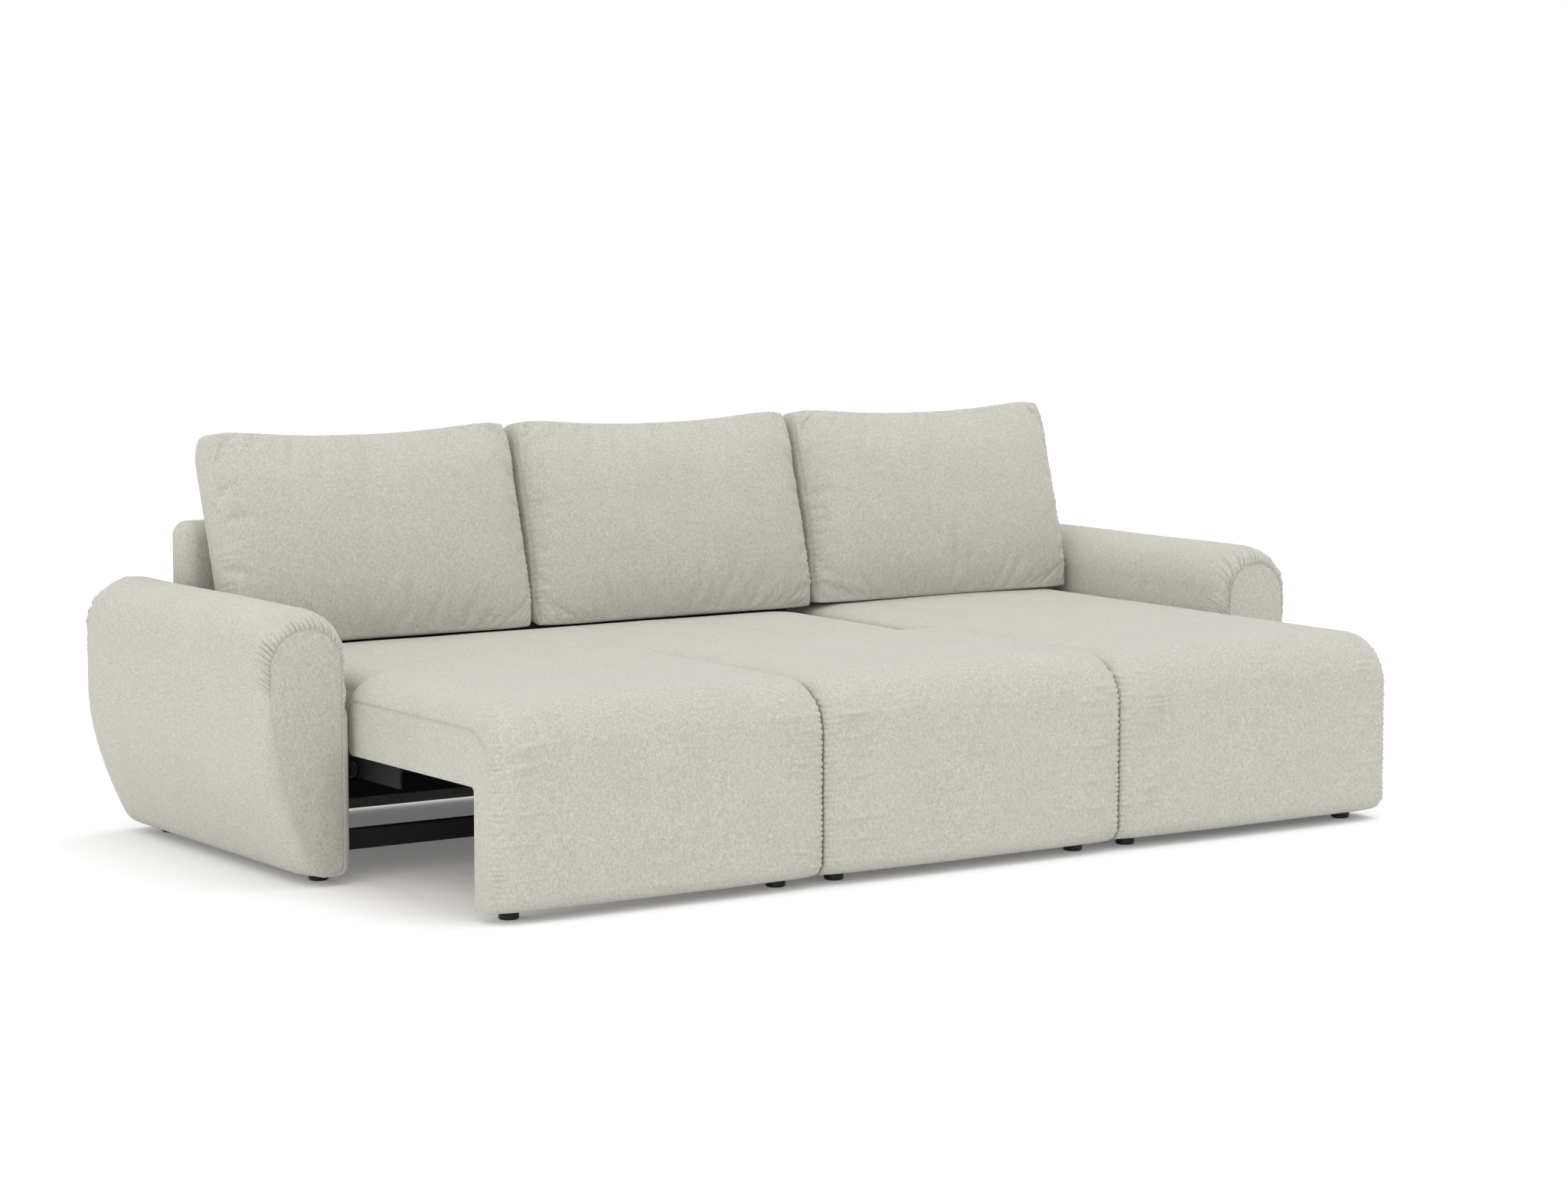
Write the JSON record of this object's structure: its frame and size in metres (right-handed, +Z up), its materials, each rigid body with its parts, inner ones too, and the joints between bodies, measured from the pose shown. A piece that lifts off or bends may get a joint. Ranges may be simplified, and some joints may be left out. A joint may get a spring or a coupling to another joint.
{
  "type": "sofa bed with chaise",
  "caption": "Upholstered sofa bed with a chaise: pull-out seats step forward on swing levers while a hidden pad rises behind them to make a bed, and loose back cushions lift off.",
  "frame": {"origin": "middle of the object's box, on the floor", "axes": "+X along the width towards the chaise, -Y to the front, +Z up"},
  "size_m": [2.836, 1.531, 0.9143],
  "materials": {
    "cover_fabric": "greige heathered weave",
    "frame_wood": "raw board",
    "black_metal": "black powder coat",
    "foot_plastic": "black moulded",
    "base_cloth": "black base cloth"
  },
  "bodies": {
    "base": {"side_plate_left": "black_metal", "side_plate_right": "black_metal", "pivot_pins": "black_metal", "plate_spacers": "black_metal", "plate_bolts": "black_metal", "front_stretcher": "black_metal", "rear_stretcher": "black_metal", "chaise_cover": "cover_fabric", "chaise_front_board": "frame_wood", "chaise_rear_board": "frame_wood", "chaise_side_boards": "frame_wood", "chaise_deck": "frame_wood", "chaise_feet": "foot_plastic", "chaise_base_cloth": "base_cloth", "arm_cover_left": "cover_fabric", "arm_cover_right": "cover_fabric", "arm_frame_left": "frame_wood", "arm_frame_right": "frame_wood", "joining_bolts": "black_metal", "arm_feet": "foot_plastic", "back_cover": "cover_fabric", "back_frame": "frame_wood", "cushion_ledge": "base_cloth"},
    "front_levers": {"front_lever_left": "black_metal", "front_lever_right": "black_metal", "front_lever_tube": "black_metal"},
    "rear_levers": {"rear_lever_left": "black_metal", "rear_lever_right": "black_metal", "rear_lever_tube": "black_metal"},
    "seat": {"seat_cover_left": "cover_fabric", "seat_cover_right": "cover_fabric", "seat_front_board_left": "frame_wood", "seat_front_board_right": "frame_wood", "seat_deck_left": "frame_wood", "seat_deck_right": "frame_wood", "seat_feet": "foot_plastic", "seat_joining_plates": "black_metal", "seat_bracket_left": "black_metal", "seat_bracket_right": "black_metal", "seat_bolts": "black_metal"},
    "rear_pad": {"rear_pad_cover": "cover_fabric", "rear_pad_board": "frame_wood", "pad_bracket_left": "black_metal", "pad_bracket_right": "black_metal", "pad_pins": "black_metal"},
    "back_cushion_left": {"back_cushion_left": "cover_fabric"},
    "back_cushion_middle": {"back_cushion_middle": "cover_fabric"},
    "back_cushion_right": {"back_cushion_right": "cover_fabric"}
  },
  "joints": [
    {"name": "step_out", "type": "hinge", "parent": "base", "child": "front_levers", "pos_m": [-0.4, 0.18, 0.1464], "axis": [-1, 0, 0], "range_deg": [0, 144]},
    {"name": "rear_lever_swing", "type": "hinge", "parent": "base", "child": "rear_levers", "pos_m": [-0.4, 0.305, 0.1464], "axis": [-1, 0, 0], "range_deg": [0, 144]},
    {"name": "seat_level", "type": "hinge", "parent": "front_levers", "child": "seat", "pos_m": [-0.4, -0.105, 0.239], "axis": [-1, 0, 0], "range_deg": [-144, 0]},
    {"name": "pad_level", "type": "hinge", "parent": "front_levers", "child": "rear_pad", "pos_m": [-0.4, 0.19875, 0.25276], "axis": [-1, 0, 0], "range_deg": [-144, 0]},
    {"name": "cushion_left_lift", "type": "slide", "parent": "base", "child": "back_cushion_left", "axis": [0, 0, 1], "range_m": [0, 0.45]},
    {"name": "cushion_middle_lift", "type": "slide", "parent": "base", "child": "back_cushion_middle", "axis": [0, 0, 1], "range_m": [0, 0.45]},
    {"name": "cushion_right_lift", "type": "slide", "parent": "base", "child": "back_cushion_right", "axis": [0, 0, 1], "range_m": [0, 0.45]}
  ],
  "couplings": [
    {"joint": "rear_lever_swing", "follows": "step_out", "ratio": 1},
    {"joint": "seat_level", "follows": "step_out", "ratio": -1},
    {"joint": "pad_level", "follows": "step_out", "ratio": -1}
  ]
}
